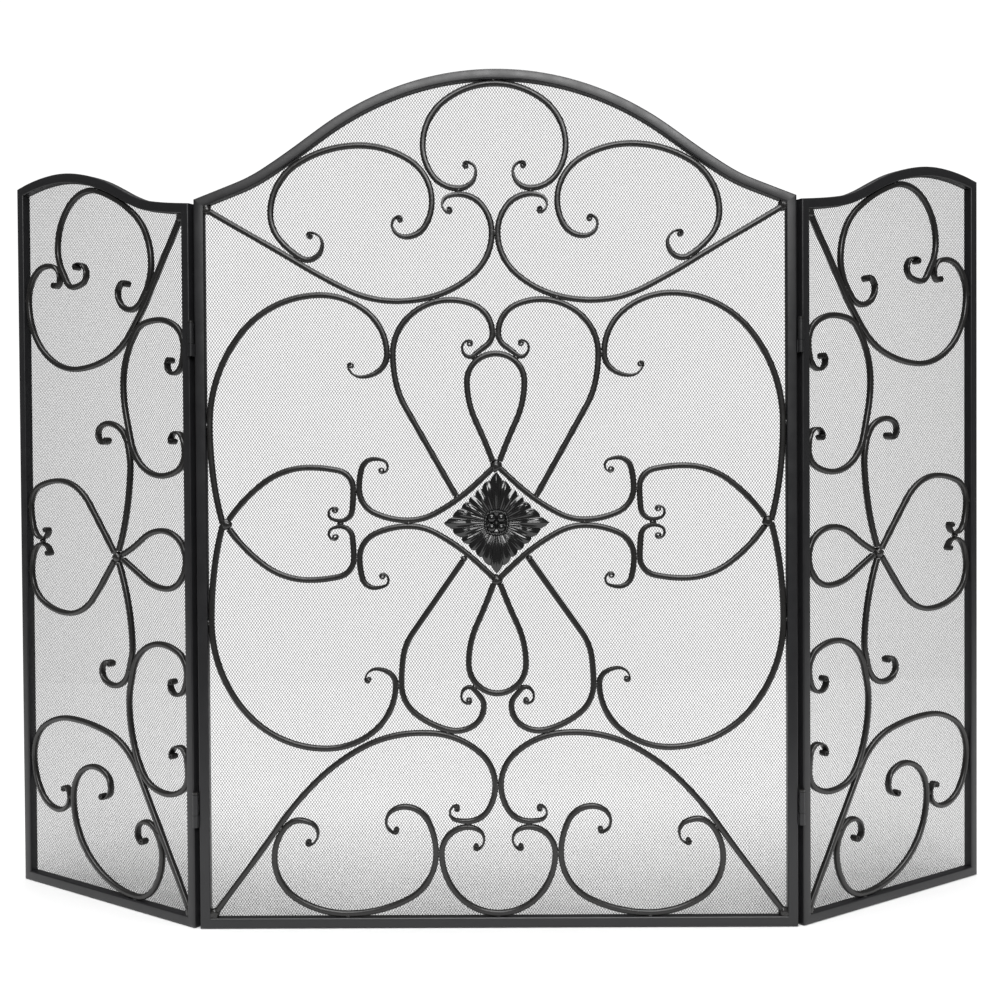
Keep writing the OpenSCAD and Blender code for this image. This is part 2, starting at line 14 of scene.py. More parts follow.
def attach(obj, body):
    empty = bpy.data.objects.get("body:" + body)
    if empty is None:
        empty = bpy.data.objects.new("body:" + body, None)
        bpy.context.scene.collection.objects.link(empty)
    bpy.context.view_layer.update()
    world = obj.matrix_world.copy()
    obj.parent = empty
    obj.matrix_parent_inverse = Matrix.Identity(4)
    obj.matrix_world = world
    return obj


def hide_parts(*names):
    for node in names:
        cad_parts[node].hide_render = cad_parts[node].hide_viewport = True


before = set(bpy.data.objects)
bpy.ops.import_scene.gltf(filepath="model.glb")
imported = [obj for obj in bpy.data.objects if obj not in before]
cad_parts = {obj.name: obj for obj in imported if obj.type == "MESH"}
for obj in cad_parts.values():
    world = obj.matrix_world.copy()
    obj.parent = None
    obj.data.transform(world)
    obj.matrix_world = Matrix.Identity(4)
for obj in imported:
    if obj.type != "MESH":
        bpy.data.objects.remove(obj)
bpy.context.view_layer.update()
MM = 0.001

# %% [markdown]
# ## Camera
# The screen is seen square on from just over a metre away, with a slightly long lens, so both
# wings are seen at the same slant. The camera is tilted down a touch, and a third of a degree
# out of level, as a hand-held one is.

# %% Camera
def placed(name, data):
    """A new object in the scene, for a camera, a lamp or a mesh."""
    made = bpy.data.objects.new(name, data)
    bpy.context.collection.objects.link(made)
    return made


EYE = Vector((11.4, -1215.0, 437.1)) * MM
YAW, PITCH, ROLL = np.radians((-0.37, 0.89, 0.36))
LENS = 44.8
SENSOR = 36.0

ahead = Vector((np.sin(YAW) * np.cos(PITCH), np.cos(YAW) * np.cos(PITCH), -np.sin(PITCH)))
level = Vector((np.cos(YAW), -np.sin(YAW), 0.0))
upward = level.cross(ahead)
right = level * np.cos(ROLL) - upward * np.sin(ROLL)
top = level * np.sin(ROLL) + upward * np.cos(ROLL)
camera = placed("camera", bpy.data.cameras.new("camera"))
camera.matrix_world = Matrix.Translation(EYE) @ Matrix((right, top, -ahead)).transposed().to_4x4()
camera.data.lens = LENS
camera.data.sensor_width = SENSOR
camera.data.clip_start, camera.data.clip_end = 0.01, 50.0
bpy.context.scene.camera = camera
print("camera at", [round(c, 3) for c in camera.location], "lens", LENS)

# %% [markdown]
# ## Shader maths as plain Python
# A node tree is easier to read as an expression. `Value` wraps one output socket, and the usual
# operators add Math nodes for it, so `0.3 + 0.1 * speckle` builds the nodes that work that out.
# Every node comes from `Shade.node`, which takes its type, its settings and what its sockets get.

# %% A small language for shaders
# Where these sockets stand in their nodes' lists.
OBJECT_COORDINATES = 3
MIX_COLOUR_A, MIX_COLOUR_B, MIX_COLOUR_OUT = 6, 7, 2


class Value:
    """One number or colour that changes over a surface."""

    def __init__(self, shade, socket):
        self.shade, self.socket = shade, socket

    def _math(self, operation, *numbers):
        return self.shade.node("Math", 0, {"operation": operation}, dict(enumerate(numbers)))

    def __add__(self, other):
        return self._math("ADD", self, other)

    def __sub__(self, other):
        return self._math("SUBTRACT", self, other)

    def __rsub__(self, other):
        return self._math("SUBTRACT", other, self)

    def __mul__(self, other):
        return self._math("MULTIPLY", self, other)

    __radd__ = __add__
    __rmul__ = __mul__


class Shade:
    """A node tree, and the one way that nodes are added to it."""

    def __init__(self, tree):
        self.tree = tree

    def feed(self, made, inputs):
        """Links or sets sockets, which go by their name or their number."""
        for key, given in inputs.items():
            socket = made.inputs[key]
            if isinstance(given, Value):
                self.tree.links.new(given.socket, socket)
            else:
                socket.default_value = given

    def node(self, kind, output=0, settings=None, inputs=None):
        made = self.tree.nodes.new("ShaderNode" + kind)
        for key, setting in (settings or {}).items():
            setattr(made, key, setting)
        self.feed(made, inputs or {})
        return Value(self, made.outputs[output])


class Paint(Shade):
    """A material and its one surface shader."""

    def __init__(self, name, constants):
        self.material = bpy.data.materials.new(name)
        self.material.use_nodes = True
        super().__init__(self.material.node_tree)
        self.surface = self.tree.nodes["Principled BSDF"]
        self.feed(self.surface, constants)

    def spots(self, size_mm, detail):
        """Soft noise from 0 to 1 whose spots are about size_mm across, fixed to the object."""
        spot = self.node("TexCoord", OBJECT_COORDINATES)
        how = {"Vector": spot, "Scale": 1 / (size_mm * MM), "Detail": detail}
        return self.node("TexNoise", inputs=how)

    def mix(self, share, low, high):
        """A colour from low to high as share goes from 0 to 1."""
        colours = {0: share, MIX_COLOUR_A: (*low, 1.0), MIX_COLOUR_B: (*high, 1.0)}
        return self.node("Mix", MIX_COLOUR_OUT, {"data_type": "RGBA"}, colours)

    def relief(self, height_mm):
        """A bump from a height in millimetres."""
        return self.node("Bump", inputs={"Height": height_mm, "Distance": MM, "Strength": 1.0})


print("shader words ready")

# %% [markdown]
# ## Black paint on iron
# Everything is sprayed with the same black, but it doesn't look the same everywhere. On the
# drawn tube it lies smooth with a faint orange peel. On the forged bar it follows soft hammer
# marks, and goes a little brown where it is thin. On the pressed rosette it is thick and wet.
# So there is one recipe with four sets of numbers.

# %% The four blacks
def black_paint(name, thin, thick, gloss, uneven, peel_mm, dent_mm, dent_size, coat=0.0):
    """Paint from a thin to a thick colour, with roughness gloss that varies by uneven."""
    paint = Paint(name, {"IOR": 1.5, "Coat Weight": coat, "Coat Roughness": 0.08})
    cloud = paint.spots(60.0, 4.0)
    speckle = paint.spots(1.1, 3.0)
    patches = paint.spots(14.0, 4.0)
    dents = paint.spots(dent_size, 2.0)
    paint.feed(paint.surface, {
        "Base Color": paint.mix(cloud * 0.75 + speckle * 0.25, thick, thin),
        "Roughness": gloss + uneven * (patches - 0.5),
        "Normal": paint.relief(speckle * peel_mm + dents * dent_mm),
    })
    return paint.material


frame_black = black_paint(
    "satin_black_on_tube", thin=(0.014, 0.014, 0.015), thick=(0.007, 0.007, 0.008),
    gloss=0.34, uneven=0.22, peel_mm=0.018, dent_mm=0.04, dent_size=9.0,
)
bar_black = black_paint(
    "satin_black_on_bar", thin=(0.017, 0.016, 0.015), thick=(0.007, 0.007, 0.007),
    gloss=0.30, uneven=0.24, peel_mm=0.02, dent_mm=0.14, dent_size=5.0,
)
rosette_black = black_paint(
    "wet_black_on_rosette", thin=(0.007, 0.007, 0.007), thick=(0.004, 0.004, 0.004),
    gloss=0.18, uneven=0.06, peel_mm=0.005, dent_mm=0.02, dent_size=6.0, coat=0.3,
)
weld_black = black_paint(
    "black_on_weld", thin=(0.022, 0.021, 0.020), thick=(0.008, 0.008, 0.008),
    gloss=0.24, uneven=0.16, peel_mm=0.05, dent_mm=0.2, dent_size=1.6,
)
print("paints:", [m.name for m in (frame_black, bar_black, rosette_black, weld_black)])

# %% [markdown]
# The wire is so thin that no light and shade shows across it. It only needs the right darkness,
# and a slow change over the sheet where the paint is thinner.

# %% Painted wire
wire_paint = Paint("black_on_wire", {"Roughness": 0.5, "IOR": 1.45})
thinner = wire_paint.spots(70.0, 3.0)
wire_paint.feed(wire_paint.surface, {
    "Base Color": wire_paint.mix(thinner, (0.018, 0.018, 0.019), (0.040, 0.040, 0.041))
})
wire_black = wire_paint.material
print("paint:", wire_black.name)

# %% [markdown]
# ## Bends
# A smith bends a scroll round a horn, so it is a chain of arcs. Each scroll here is a list of
# stations: a place, the direction of travel, and how far the bar's middle lies to the left.
# Two arcs join each station to the next. A station with only a place is a free tip.

# %% Arcs between stations
def unit(angle):
    angle = np.radians(angle)
    return np.array((np.cos(angle), np.sin(angle)))


def angle_of(v):
    return np.degrees(np.arctan2(v[1], v[0]))


def half_turn(angle):
    return angle - 360 * np.round(angle / 360)


def place(station):
    spot = np.array(station[:2], float)
    return spot + station[3] * unit(station[2] + 90) if len(station) == 4 else spot


def turn_of(arc):
    return 2 * half_turn(angle_of(arc[2] - arc[0]) - arc[1])


def two_arcs(p, a, q, b):
    v, t = q - p, unit(a) + unit(b)
    spare, along = 2 * (1 - unit(a) @ unit(b)), (q - p) @ t
    if spare < 1e-6:
        reach = v @ v / (2 * along)
    else:
        reach = (np.sqrt(along * along + spare * (v @ v)) - along) / spare
    joint = (p + q + reach * (unit(a) - unit(b))) / 2
    first = (p, a, joint)
    return [first, (joint, a + turn_of(first), q)]


def arcs(stations):
    run = []
    for start, end in zip(stations[:-1], stations[1:], strict=True):
        p, q = place(start), place(end)
        if len(start) == 2:
            run.append((p, 2 * angle_of(q - p) - end[2], q))
        elif len(end) == 2:
            run.append((p, start[2], q))
        else:
            run += two_arcs(p, start[2], q, end[2])
    return run


print("a quarter bend:", [round(float(turn_of(a)), 1) for a in arcs([(0, 0, 0), (10, 10, 90)])])

# %% [markdown]
# A run becomes points some three millimetres apart, closer where the bend is tight. Each point
# keeps its heading, because the bar's section has to stand square to it.

# %% Points along a run
NEARLY_STRAIGHT = 0.4
STRAIGHT_STEP = 6.0


def trace(stations, step=2.0, bend=5.0):
    """Places and headings along the run, and the way its two ends curl.

    On a bend the points stand at most step / 0.6 millimetres and bend degrees apart.
    """
    places, headings, all_arcs = [], [], arcs(stations)
    for p, a, q in all_arcs:
        turn = turn_of((p, a, q))
        chord = np.linalg.norm(q - p)
        if abs(turn) < NEARLY_STRAIGHT:
            count = max(1, int(chord / STRAIGHT_STEP))
            spots = [p + (q - p) * i / count for i in range(count)]
            angles = [angle_of(q - p)] * count
        else:
            radius = chord / (2 * np.sin(np.radians(turn / 2)))
            middle = p + radius * unit(a + 90)
            length = abs(radius * np.radians(turn))
            count = max(2, int(np.ceil(max(length / step * 0.6, abs(turn) / bend))))
            angles = [a + turn * i / count for i in range(count)]
            spots = [middle - radius * unit(g + 90) for g in angles]
        places += spots
        headings += angles
    last = all_arcs[-1]
    places.append(last[2])
    headings.append(last[1] + turn_of(last))
    curls = [np.sign(turn_of(all_arcs[0])), np.sign(turn_of(last))]
    return np.array(places), np.array(headings), curls


def flip(stations, middle=None):
    """The run in a mirror at x = 0, or at a height, travelled the other way."""
    turned = []
    for s in reversed(stations):
        if middle is None:
            turned.append((-s[0], s[1]) if len(s) == 2 else (-s[0], s[1], -s[2], *s[3:]))
        else:
            up = 2 * middle - s[1]
            turned.append((s[0], up) if len(s) == 2 else (s[0], up, 180 - s[2], *s[3:]))
    return turned


print("a ring of", len(trace([(0, 0, 0), (10, 10, 90)])[0]), "points")

# %% [markdown]
# ## The bar
# The bar is just under 6 mm square with worn corners. Before a tip is rolled it is hammered flat:
# thinner in the plane of the scroll, wider from front to back. The flat end is then rolled into
# a small eye. A `Skin` gathers rings of points into one mesh, so that a whole scroll is one
# closed surface with capped ends.

# %% A skin of rings
BAR = 2.95  # half the width of the bar
TIP_THIN, TIP_DEEP = 0.85, 4.1  # half the sizes of a hammered tip
TIP_SQUARENESS, SQUARENESS_LOST = 4.2, 1.3
EYE_RADIUS = 2.9
DRAW_OUT = 46.0  # how far back from a tip the hammering starts


class Skin:
    """Collects vertices and faces in millimetres, and makes one object of them."""

    def __init__(self):
        self.vertices, self.faces, self.count = [], [], 0

    def add(self, vertices, faces):
        self.vertices.append(np.asarray(vertices, float))
        self.faces += [tuple(i + self.count for i in face) for face in faces]
        self.count += len(vertices)

    def tube(self, rings):
        """Joins rings of equal size, and caps the two ends."""
        rings = np.asarray(rings)
        n, m = rings.shape[:2]
        faces = [
            (i * m + j, i * m + (j + 1) % m, (i + 1) * m + (j + 1) % m, (i + 1) * m + j)
            for i in range(n - 1)
            for j in range(m)
        ]
        faces += [tuple(reversed(range(m))), tuple(range((n - 1) * m, n * m))]
        self.add(rings.reshape(-1, 3), faces)

    def build(self, name, material, placing=None, smooth=30.0):
        mesh = bpy.data.meshes.new(name)
        spots = np.concatenate(self.vertices) * MM
        if placing is not None:
            spots = spots @ placing[:3, :3].T + placing[:3, 3]
        mesh.from_pydata(spots.tolist(), [], self.faces)
        mesh.materials.append(material)
        made = placed(name, mesh)
        bpy.context.view_layer.update()
        mesh.polygons.foreach_set("use_smooth", [True] * len(mesh.polygons))
        mesh.set_sharp_from_angle(angle=np.radians(smooth))
        mesh.update()
        return made


def bar_section(in_plane, depth, squareness, points=16):
    """A rounded square: across the bend, and from front to back."""
    t = np.arange(points) * 2 * np.pi / points
    c, s = np.cos(t), np.sin(t)
    power = 2.0 / squareness
    return (
        in_plane * np.sign(c) * np.abs(c) ** power,
        depth * np.sign(s) * np.abs(s) ** power,
    )


def ring_at(spot, heading, in_plane, depth, squareness):
    """One ring of the bar. The panel's drawing is x and z, and y is its depth."""
    across, deep = bar_section(in_plane, depth, squareness)
    normal = unit(heading + 90)
    return np.stack(
        [spot[0] + normal[0] * across, deep, spot[1] + normal[1] * across], axis=1
    )


print("bar section", 2 * BAR, "mm")

# %% [markdown]
# The eye is a spiral of nearly a turn and a third. It starts where the hammered end leaves the last
# bend, and keeps curling the same way with a radius that shrinks.

# %% Roll an eye
def eye(spot, heading, curl, turns=1.3, rings=22):
    """Places and headings of the rolled end, from where it starts to its middle."""
    middle = spot + curl * EYE_RADIUS * unit(heading + 90)
    angles = np.linspace(0, 360 * turns, rings + 1)[1:]
    radii = EYE_RADIUS * (1 - 0.66 * angles / angles[-1])
    places = [middle - curl * r * unit(heading + curl * a + 90) for a, r in zip(angles, radii)]
    return np.array(places), heading + curl * angles


def ease(x):
    x = np.clip(x, 0, 1)
    return x * x * (3 - 2 * x)


def bar_rings(stations):
    """Rings along a scroll, drawn out flat towards each free tip and rolled there."""
    places, headings, curls = trace(stations)
    tips = [len(stations[0]) == 2, len(stations[-1]) == 2]
    along = np.concatenate([[0], np.cumsum(np.linalg.norm(np.diff(places, axis=0), axis=1))])
    flat = np.ones(len(places))
    if tips[0]:
        flat = np.minimum(flat, ease(along / DRAW_OUT))
    if tips[1]:
        flat = np.minimum(flat, ease((along[-1] - along) / DRAW_OUT))
    if tips[0]:
        spots, angles = eye(places[0], headings[0] + 180, -curls[0])
        places = np.concatenate([spots[::-1], places])
        headings = np.concatenate([angles[::-1] - 180, headings])
        flat = np.concatenate([np.zeros(len(spots)), flat])
    if tips[1]:
        spots, angles = eye(places[-1], headings[-1], curls[1])
        places, headings = np.concatenate([places, spots]), np.concatenate([headings, angles])
        flat = np.concatenate([flat, np.zeros(len(spots))])
    # A hammered bar is never quite even.
    waver = np.array([noise.noise(Vector((x * 0.06, 0.0, z * 0.06))) for x, z in places])
    in_plane = TIP_THIN + (BAR - TIP_THIN) * flat + 0.14 * waver * flat
    depth = TIP_DEEP + (BAR - TIP_DEEP) * flat - 0.08 * waver
    squareness = TIP_SQUARENESS - SQUARENESS_LOST * flat
    return [
        ring_at(*each) for each in zip(places, headings, in_plane, depth, squareness, strict=True)
    ]


print("a scroll with two eyes has", len(bar_rings([(0, 0), (0, 20, 90), (20, 30)])), "rings")

# %% [markdown]
# ## Placing a piece
# The centre panel's drawing already stands where it should. A wing is drawn flat, as the right
# one, from its hinge stile outwards, and then turned back about its hinge pin. The left wing is
# that in a mirror. These two matrices do it for every piece of a wing.

# %% Where the wings stand
CENTRE_HALF = 292.5
TUBE = 10.0
HINGE_GAP = 7.0
PIN_PROUD = 0.5
FOLD_BACK = 34.5


def wing_placing(side):
    """The 4 by 4 matrix, in metres, of the right (1) or left (-1) wing."""
    pin = Matrix.Translation(Vector((CENTRE_HALF + HINGE_GAP / 2, -TUBE / 2 - PIN_PROUD, 0)) * MM)
    swing = Matrix.Rotation(np.radians(FOLD_BACK), 4, "Z")
    inset = Matrix.Translation(Vector((HINGE_GAP / 2, TUBE / 2 + PIN_PROUD, 0)) * MM)
    mirror = Matrix.Diagonal((side, 1, 1, 1))
    return np.array(mirror @ pin @ swing @ inset)


WINGS = {"left_panel": wing_placing(-1), "right_panel": wing_placing(1)}


def finished(piece, body, slot, *nodes):
    """The piece rides on its body and stands in for engineered nodes, which are hidden. The slot is
    not used.
    """
    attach(piece, body)
    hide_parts(*nodes)


def make(skin, name, material, body, slot, *nodes, smooth=30.0):
    piece = skin.build(name, material, WINGS.get(body), smooth)
    if body == "left_panel":
        piece.data.flip_normals()  # a mirrored mesh is inside out
    finished(piece, body, slot, *nodes)
    print(f"{piece.name}: {len(piece.data.polygons)} faces")


print("right wing's hinge edge:", [round(float(c), 4) for c in WINGS["right_panel"][:3, 3]])

# %% [markdown]
# ## The centre panel's scrolls
# The drawing is the same left and right. Where two bars touch, both lists give the same place
# and heading, and each bar stands off by half the distance between their middles.

# %% Centre stations
T = 2.85  # half the distance between the middles of two bars that touch
MID = 396.0  # height of the centre panel's middle line
crown = [(-28, 747), (-18, 738, -90), (-35, 718.8, 180, -T), (-69.5, 763.5, 90)]
crown = crown + [(0, 826, 0, -T)] + flip(crown)
shoulder = [
    (-180.5, 679.5), (-168, 668.5, -90), (-190.5, 652.8, 148.5, -T), (-218.5, 698, 90),
    (-132, 764, 0), (-61, 709.5, -90), (-86.5, 675, 180), (-100, 687, 90), (-93, 695),
]
upper_corner = [
    (-279.5, 702, -31, 0), (-190.5, 652.8, -31.5, -T), (-95, 612.5, 0), (-60, 614.2, 15, T),
    (0, 678.5, 90, T), (-35, 718.8, 180, T), (-51, 706, -90), (-45, 698),
]
upper_side = [
    (-144, 549.5), (-131, 539, 0), (-103, 561, 90, T), (-171, 619, 180),
    (-282.5, 492.5, -90, T), (-268, 397.3, -75),
]
lower_side = [
    (-129.5, 243), (-118.5, 253.5, 0), (-96.8, 238, -90, -T), (-168, 175.5, 180),
    (-282.5, 300, 90, -T), (-268, 394.7, 75),
]
heart = [
    (-261.5, 400.8, 55), (-183, 451, 0), (-136.9, 430, -90, -T), (-152.5, MID, 180, -T),
    (-164, 406, 90), (-158, 412),
]
diamond = [
    (-111, 445), (-106, 451.5, 90), (-119, 459, 180), (-136.9, 430, -90, T),
    (-86, MID, 0, T), (-37.5, 419.5, 36), (-3.4, 449.5, 44),
]
upper_ear = [
    (-39.8, 423.4, 119.4), (-88, 509, 119.4), (-103, 561, 90, -T), (-60, 614.2, 15, -T),
    (0, 581, -90, -T), (-19.8, 556.9, -141, -T), (-32.5, 567, 90), (-25, 574),
]
lower_ear = [
    (-33.2, 358.8, -125), (-83, 288, -125), (-96.8, 238, -90, T), (-49, 190.6, -14.6, T),
    (-13.5, 216.5, 90), (-21.8, 235.5, 135, T), (-35.5, 226, -90), (-28, 219),
]
upper_drop = [(-3.4, 456, 110), (-28, 534, 90), (-19.8, 556.9, 39, -T)]
upper_drop = upper_drop + [(0, 561, 0)] + flip(upper_drop)
lower_drop = [(-3.4, 336, -110), (-28, 258, -90), (-21.8, 235.5, -45, T)]
lower_drop = lower_drop + [(0, 229, 0)] + flip(lower_drop)
lower_corner = [
    (-278.2, 14.6, 53), (-213.7, 96.9, 55, T), (-132.5, 176.5, 28), (-74.5, 190.5, 0),
    (-49, 190.6, -14.6, -T), (0, 138.5, -90, -T), (-30, 100.5, 180, -T), (-47.5, 112, 90),
    (-41, 119),
]
foot = [
    (-185, 80.5), (-177, 92, 90), (-195.5, 105, 180), (-213.7, 96.9, -125, T), (-220, 68, -90),
    (-148, TUBE, 0, T), (-58.5, 72, 90, T), (-92, 118, 180), (-110, 103, -90), (-101, 92),
]
cradle = [(-20.5, 75.5), (-14, 85.5, 90), (-30, 100.5, 180, T), (-58.5, 72, -90, T)]
cradle = cradle + [(0, TUBE, 0, T)] + flip(cradle)
CENTRE_SCROLLS = {
    "crown_scroll": [crown],
    "shoulder_scrolls": [shoulder, flip(shoulder)],
    "upper_corner_scrolls": [upper_corner, flip(upper_corner)],
    "upper_side_scrolls": [upper_side, flip(upper_side)],
    "lower_side_scrolls": [lower_side, flip(lower_side)],
    "heart_scrolls": [f for h in (heart, flip(heart, MID)) for f in (h, flip(h))],
    "diamond_scrolls": [f for d in (diamond, flip(diamond, MID)) for f in (d, flip(d))],
    "upper_ear_scrolls": [upper_ear, flip(upper_ear)],
    "lower_ear_scrolls": [lower_ear, flip(lower_ear)],
    "teardrop_scrolls": [upper_drop, lower_drop],
    "lower_corner_scrolls": [lower_corner, flip(lower_corner)],
    "foot_scrolls": [foot, flip(foot)],
    "cradle_scroll": [cradle],
}
print(sum(map(len, CENTRE_SCROLLS.values())), "bars in the centre panel")

# %% Bend the centre scrolls
def bend_scrolls(drawing, body, before=""):
    """Makes one piece for each node of a panel's drawing."""
    for node, runs in drawing.items():
        skin = Skin()
        for run in runs:
            skin.tube(bar_rings(run))
        make(skin, before + node + "_bar", bar_black, body, "scrolls", before + node)


bend_scrolls(CENTRE_SCROLLS, "centre_panel")

# %% [markdown]
# ## The wings' scrolls
# A wing's drawing is taller than wide: two C scrolls lean on the hinge stile, a flower of six
# bars opens from one weld, and a big curl fills each end.

# %% Wing stations
WING_W = 276.0
WING_H = 709.0  # at the hinge stile
WING_RISE = 58.0  # from there to the crest
WING_FALL = 7.0  # from the crest to the outer stile
INNER, OUTER = TUBE, WING_W - TUBE
crest_at = (138.0, WING_H + 0.755 * WING_RISE)
WING_SCROLLS = {
    "crest_scroll": [[
        (180, 668), (163, 657, -90), (184, 645, 0), (207, 664, 60, T), (211, 688, 90),
        (*crest_at, 199, TUBE + T), (60, 657, -90), (66.5, 627.5, -57, T), (91, 613.5, 0),
        (112, 632, 90), (98, 643),
    ]],
    "upper_corner_scroll": [[
        (17, 695.5, -55.7), (66.5, 627.5, -57, -T), (87.5, 591.5, -50.5, T), (179, 558, 0),
        (OUTER, 637, 90, T), (231, 672, 180), (207, 664, -120, T), (208, 654, -80), (216, 647),
    ]],
    "hinge_side_scrolls": [[
        (35, 560), (28, 545, 180), (INNER, 570, 90, -T), (53, 600, 0), (87.5, 591.5, -50.5, -T),
        (105, 537, -90), (96.5, 478, -106, -T), (47, 444, 180), (INNER, 466, 90, -T),
        (25, 487, 0), (33, 478),
    ], [
        (36, 240), (28, 226, 180), (INNER, 248, 90, -T), (52, 275, 0), (97.5, 245, -75, -T),
        (101, 212, -90), (85, 142, -121, -T), (44, 125, 180), (INNER, 148, 90, -T),
        (26, 175, 0), (37, 165),
    ]],
    "s_scrolls": [[
        (131, 479), (146, 488, 90), (131, 499, 180), (96.5, 478, -106, T), (95.5, 450, -86),
        (115, 367.6, -66),
    ], [
        (129, 252), (144, 241, -90), (124, 227, 180), (97.5, 245, 105, -T), (95, 270, 88),
        (115, 354.4, 66),
    ]],
    "heart_scrolls": [[
        (122.4, 365.4, 52), (214, 440, 0), (OUTER, 412, -90, -T), (243, 374.5, 180, -T), (233, 386),
    ], [
        (122.4, 356.6, -52), (200, 298, 0), (OUTER, 342, 90, T), (243, 374.5, 180, T), (230, 363),
    ]],
    "teardrop_scroll": [[
        (107.5, 364.1, 158), (48, 389, 180), (INNER, 360, -90, T), (42, 331, 0), (107.5, 357.9, 28),
    ]],
    "lower_corner_scroll": [[
        (14, 17, 59.3), (56.6, 83.4, 59.3, T), (85, 142, 59.5, -T), (199, 185, 0),
        (OUTER, 138, -90, -T), (221, 84, 180), (197.5, 101, 90, -T), (208, 111),
    ]],
    "foot_scroll": [[
        (145, 106), (132, 119, 90), (158, 138, 0), (197.5, 101, -90, -T), (93, TUBE, 180, -T),
        (52.5, 60, 92), (56.6, 83.4, 59.3, -T), (76, 92, 0), (90, 79, -90), (81, 69),
    ]],
}
print(sum(map(len, WING_SCROLLS.values())), "bars in each wing")

# %% Bend the wings' scrolls
for wing in WINGS:
    bend_scrolls(WING_SCROLLS, wing, wing.removesuffix("panel"))

# %% [markdown]
# ## The tube frames
# The frame is drawn steel tube, 10 mm square, with a small radius on its edges that catches the
# light. Members meet in mitres. A mitred end is an ordinary ring whose points slide along the
# tube until they lie on the mitre's plane, so two members share one clean seam. The rings that
# such an end would slide past are left out.

# %% A length of tube
EDGE = 1.4  # radius of the tube's edges
MITRE_ROOM = 1.2 * TUBE


def tube_outline(half=TUBE / 2, radius=EDGE, steps=4):
    """A square with round corners, as across and deep."""
    points = []
    for corner, (sx, sy) in enumerate([(1, 1), (-1, 1), (-1, -1), (1, -1)]):
        for k in range(steps + 1):
            a = np.radians(90 * corner + 90 * k / steps)
            across = sx * (half - radius) + radius * np.cos(a)
            points.append((across, sy * (half - radius) + radius * np.sin(a)))
    return np.array(points).T


def tube_rings(stations, start_cut, end_cut):
    """Rings along a member. A cut is a place on the mitre and the mitre's direction."""
    places, headings, _ = trace(stations, step=5.0, bend=2.5)
    along = np.concatenate([[0], np.cumsum(np.linalg.norm(np.diff(places, axis=0), axis=1))])
    clear = (along > MITRE_ROOM) & (along < along[-1] - MITRE_ROOM)
    clear[0] = clear[-1] = True
    places, headings = places[clear], headings[clear]
    across, deep = tube_outline()
    rings = []
    for i, (spot, heading) in enumerate(zip(places, headings, strict=True)):
        flat = spot + np.outer(across, unit(heading + 90))
        cut = {0: start_cut, len(places) - 1: end_cut}.get(i)
        if cut:
            corner, direction = np.array(cut[0]), unit(cut[1] + 90)
            slide = ((corner - flat) @ direction) / (unit(heading) @ direction)
            flat = flat + np.outer(slide, unit(heading))
        rings.append(np.stack([flat[:, 0], deep, flat[:, 1]], axis=1))
    return rings


print("tube outline of", tube_outline().shape[1], "points")

# %% [markdown]
# Each panel is four members: bottom rail, two stiles and a bent top rail. The top rail's outer
# edge is a list of stations like a scroll's, and its middle is half a tube inside that.

# %% Frame stations
PEAK = 836.0
CORNER = 712.0
half_arch = [
    (-CENTRE_HALF, CORNER, 21), (-251.5, 728, 21.5), (-200.5, 758, 35), (-168.5, 781, 35.5),
]
arch_edge = half_arch + [(0, PEAK, 0)] + [(-x, z, -h) for x, z, h in reversed(half_arch)]
wing_edge = [
    (0, WING_H, 8), (54, WING_H + 9, 12), (94, WING_H + 24, 27), (*crest_at, 19),
    (214, WING_H + WING_RISE, 0), (WING_W, WING_H + WING_RISE - WING_FALL, -13),
]


def members(edge, low_x, high_x):
    """The four members of a frame: their stations and their two cuts."""
    a, b = edge[0], edge[-1]
    low_start, low_end = ((low_x, 0), 45), ((high_x, 0), 135)
    top_start, top_end = (a[:2], (a[2] - 90) / 2), (b[:2], (90 + b[2]) / 2)
    middle = TUBE / 2
    near, far = low_x + middle, high_x - middle
    return {
        "bottom_rail": ([(low_x, middle, 0), (high_x, middle, 0)], low_start, low_end),
        "low_stile": ([(near, 0, 90), (near, a[1], 90)], low_start, top_start),
        "high_stile": ([(far, 0, 90), (far, b[1], 90)], low_end, top_end),
        "top_rail": ([(*s, -middle) for s in edge], top_start, top_end),
    }


CENTRE_NAMES = {
    "bottom_rail": "centre_bottom_rail", "low_stile": "centre_left_stile",
    "high_stile": "centre_right_stile", "top_rail": "centre_arch_rail",
}
WING_NAMES = {
    "bottom_rail": "bottom_rail", "low_stile": "hinge_stile",
    "high_stile": "outer_stile", "top_rail": "top_rail",
}
print("members:", list(members(arch_edge, -CENTRE_HALF, CENTRE_HALF)))

# %% Cut and mitre the tubes
def build_frame(cuts, names, body, before=""):
    """Makes the four tubes of one panel."""
    for member, node in names.items():
        skin = Skin()
        skin.tube(tube_rings(*cuts[member]))
        make(skin, before + node + "_tube", frame_black, body, "frame", before + node)


build_frame(members(arch_edge, -CENTRE_HALF, CENTRE_HALF), CENTRE_NAMES, "centre_panel")
for wing in WINGS:
    build_frame(members(wing_edge, 0, WING_W), WING_NAMES, wing, wing.removesuffix("panel"))

# %% [markdown]
# ## The wire mesh
# The mesh is woven wire of 0.4 mm, laid on the diagonal: from the front its holes are lozenges,
# 2.7 mm wide and 3.9 mm high. A picture of a mesh would slide and blur, so every wire is here.
# One way of wires goes over the other in even rows and under in odd ones. A wire that thin can
# be a three-sided prism, with smooth shading to make it round. The whole sheet is worked out
# as arrays, and it is made in strips so that no one mesh grows too heavy.

# %% Weave a sheet
PITCH_X = 2.73
PITCH_Z = 3.85
WIRE = 0.225  # from the wire's middle to a corner of its prism
OVER = 0.8 * WIRE  # how far a wire goes over or under
SHEET_AT = 5.35  # the mesh lies just behind the tubes, which end at 5
MESH_INSET = 4.0  # from the panel's outline to the mesh's edge
STRIP_CELLS = 15500


